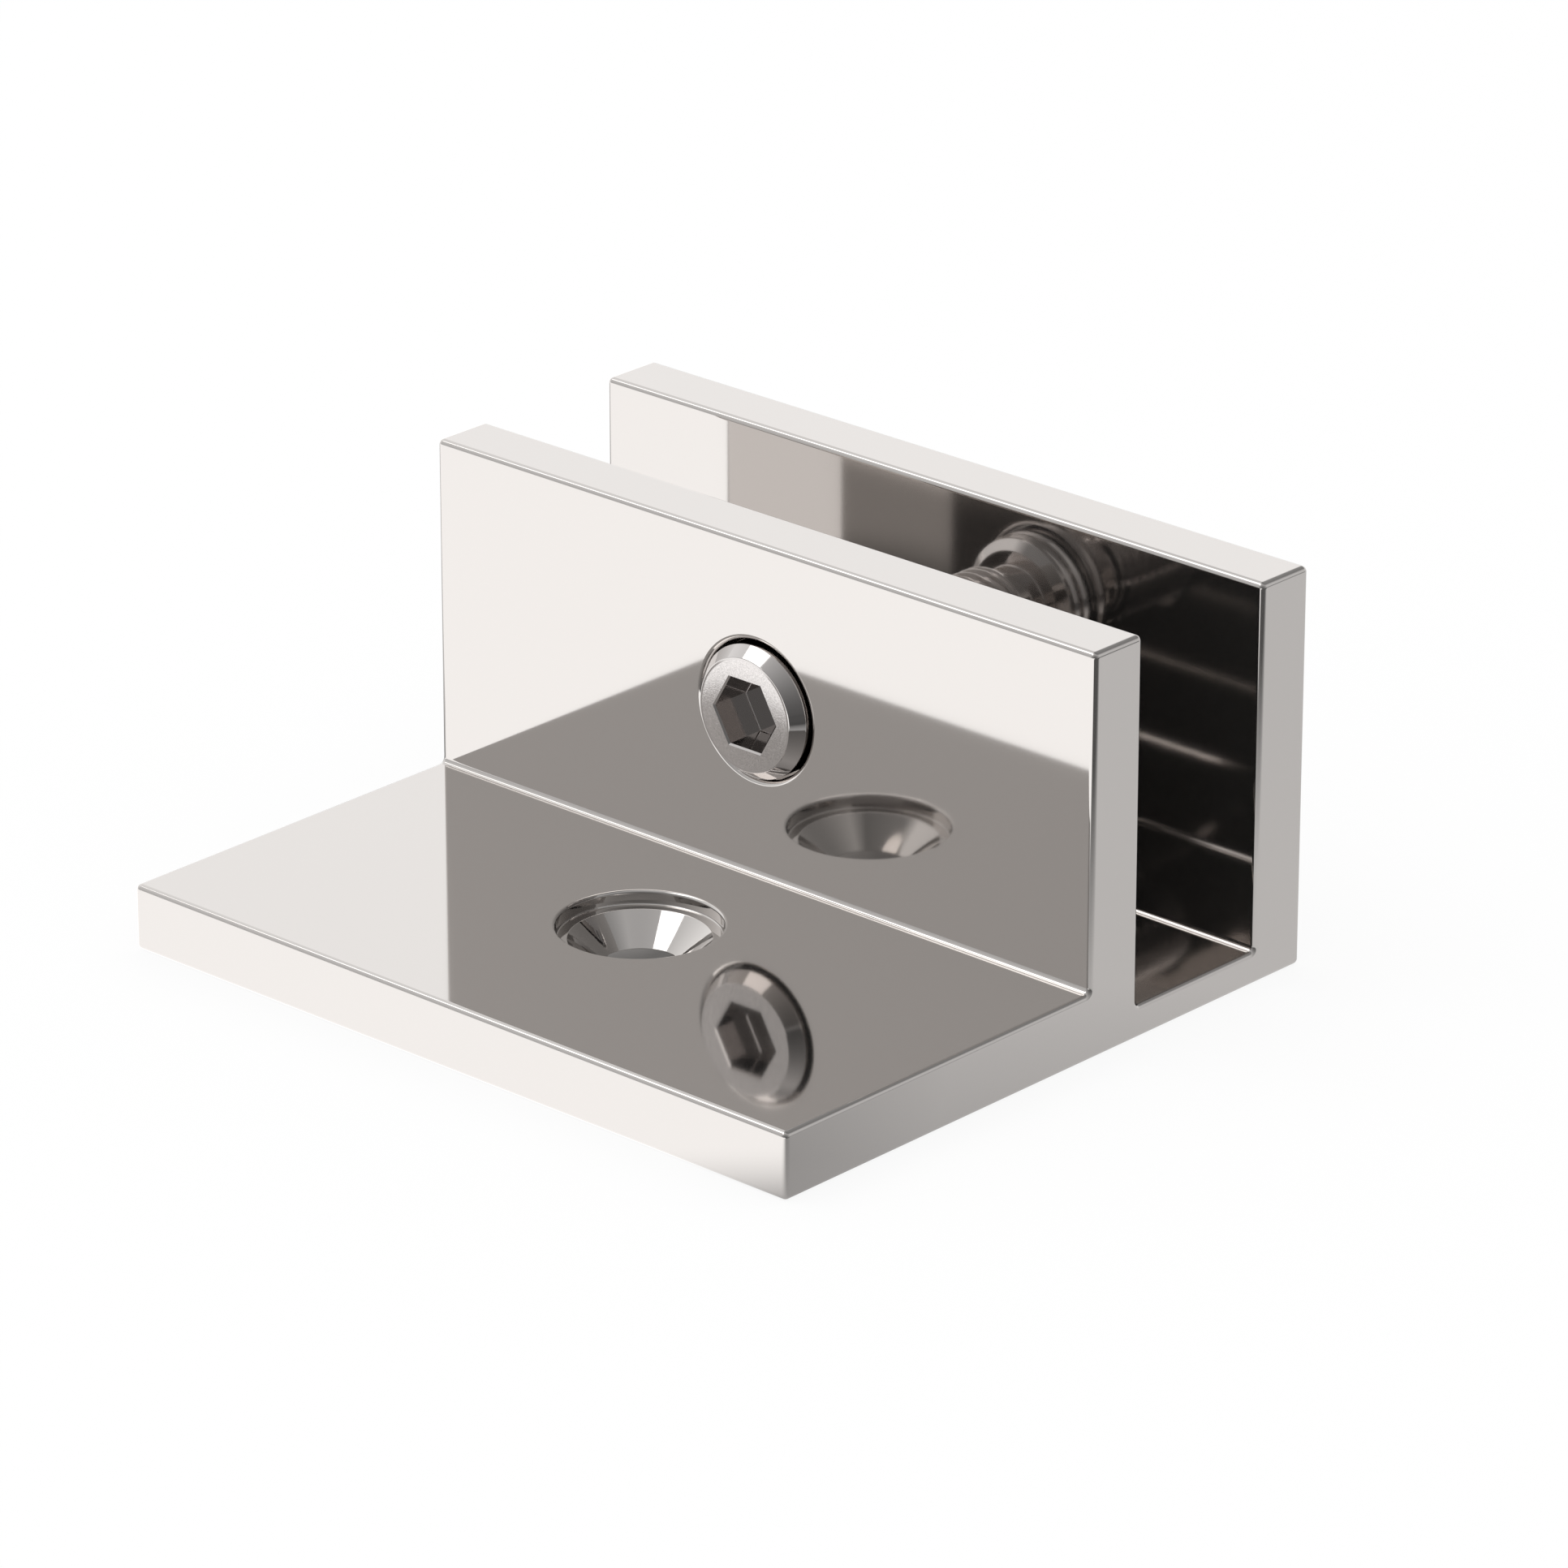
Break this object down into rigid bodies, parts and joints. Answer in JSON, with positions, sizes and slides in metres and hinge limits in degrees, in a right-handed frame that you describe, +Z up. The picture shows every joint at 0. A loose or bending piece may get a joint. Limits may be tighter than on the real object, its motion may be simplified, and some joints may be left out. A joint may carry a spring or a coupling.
{
  "type": "glass bracket",
  "caption": "Polished metal bracket with a drilled flange and a U slot that grips the edge of a glass pane by a hexagon socket screw.",
  "frame": {"origin": "middle of the underside", "axes": "+X along the bracket, in the slot's direction; +Y from the flange's front edge to the rear wall; +Z up, out of the slot's mouth"},
  "size_m": [0.05, 0.043, 0.0241],
  "materials": {
    "bracket": "mirror polished all over, slightly warm grey",
    "screw": "turned and polished, with a fine satin end face"
  },
  "bodies": {
    "bracket": {"bracket_body": "bracket"},
    "screw": {"clamp_screw": "screw"}
  },
  "joints": [
    {"name": "screw_travel", "type": "slide", "parent": "bracket", "child": "screw", "axis": [0, 1, 0], "range_m": [-0.003, 0.002]}
  ]
}
